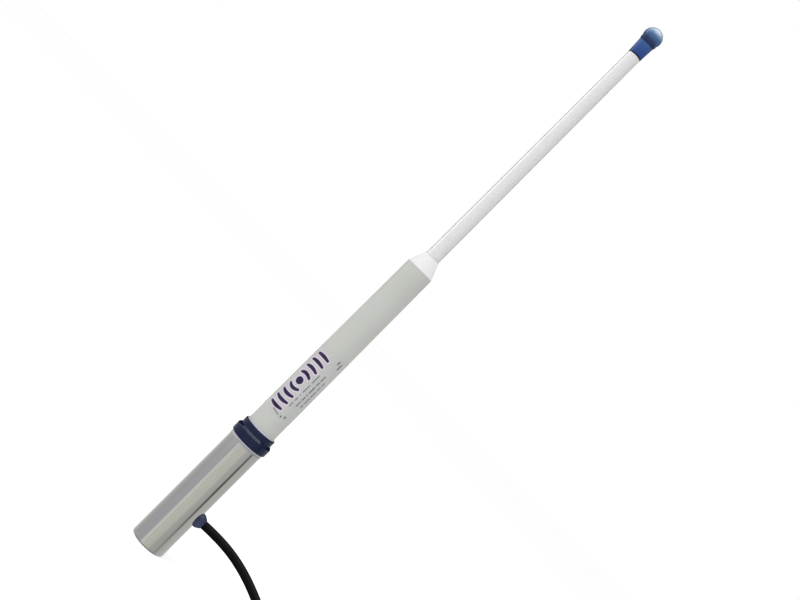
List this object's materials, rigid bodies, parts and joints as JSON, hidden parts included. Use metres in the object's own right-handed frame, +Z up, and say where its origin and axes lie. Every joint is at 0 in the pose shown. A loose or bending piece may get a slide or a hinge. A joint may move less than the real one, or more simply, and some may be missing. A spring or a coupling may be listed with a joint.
{
  "type": "omnidirectional whip antenna",
  "caption": "Omnidirectional whip antenna with a threaded steel ferrule, stepped collar, two-part radome, ball tip and a side-exit coaxial lead with its plug.",
  "frame": {"origin": "centre of the mast thread's mouth, on the flat lower face of the ferrule", "axes": "+Z up the whip to its tip, +X towards the side where the coaxial lead leaves the ferrule, -Y towards the middle of the label"},
  "size_m": [0.2783, 0.077, 0.543],
  "materials": {
    "polished_steel": "polished stainless steel with fine lengthwise polishing marks",
    "bush_brass": "machined brass",
    "nylon_white": "natural nylon",
    "gland_rubber": "blue-grey moulded rubber",
    "dielectric": "foamed polyethylene core and jacket stub",
    "board": "green solder mask",
    "copper": "bare copper",
    "capacitor": "glazed ceramic",
    "sealant": "pale silicone, satin",
    "navy_plastic": "navy moulded plastic, semi-gloss",
    "radome_grey": "warm pale grey lacquered glass fibre",
    "radome_white": "white lacquered glass fibre",
    "blue_plastic": "blue moulded plastic, glossy",
    "blue_acrylic": "blue-tinted acrylic that pales towards the top",
    "label": "clear printed film",
    "foam": "closed-cell foam",
    "coax_jacket": "black satin cable jacket",
    "tie_fabric": "black woven hook-and-loop strap",
    "heat_shrink": "black heat-shrink sleeve",
    "plug_plate": "nickel plate",
    "plug_insulation": "white fluoropolymer",
    "plug_gold": "gold-plated contact"
  },
  "bodies": {
    "antenna": {"ferrule": "polished_steel", "thread_bush": "bush_brass", "stop_disc": "nylon_white", "cable_gland": "gland_rubber", "gland_nut": "bush_brass", "ground_lug": "bush_brass", "inner_coax": "dielectric", "matching_board": "board", "board_spacers": "nylon_white", "matching_coil": "copper", "tuning_capacitor": "capacitor", "tube_sleeve": "nylon_white", "collar_gasket": "sealant", "collar": "navy_plastic", "sealant_bead": "sealant", "lower_tube": "radome_grey", "tube_reducer": "radome_white", "upper_tube": "radome_white", "tip_cap": "blue_plastic", "tip_ball": "blue_acrylic", "label_film": "label", "feed_rod": "copper", "choke_sleeve": "bush_brass", "choke_bushes": "nylon_white", "foam_ring_lower": "foam", "foam_ring_middle": "foam", "foam_ring_upper": "foam", "coil_former": "nylon_white", "phasing_coil": "copper", "upper_radiator": "copper", "foam_plugs": "foam", "radiator_end_bead": "nylon_white", "coax_lead": "coax_jacket", "coax_hank": "coax_jacket", "coax_tail": "coax_jacket", "hank_tie": "tie_fabric", "plug_boot": "heat_shrink", "plug_body": "plug_plate", "plug_insulator": "plug_insulation", "plug_pin": "plug_gold"},
    "nut": {"coupling_nut": "plug_plate"}
  },
  "joints": [
    {"name": "coupling_nut_spin", "type": "hinge", "parent": "antenna", "child": "nut", "pos_m": [0.244, -0.011, 0.0446], "axis": [1, 0, 0], "continuous": true}
  ]
}
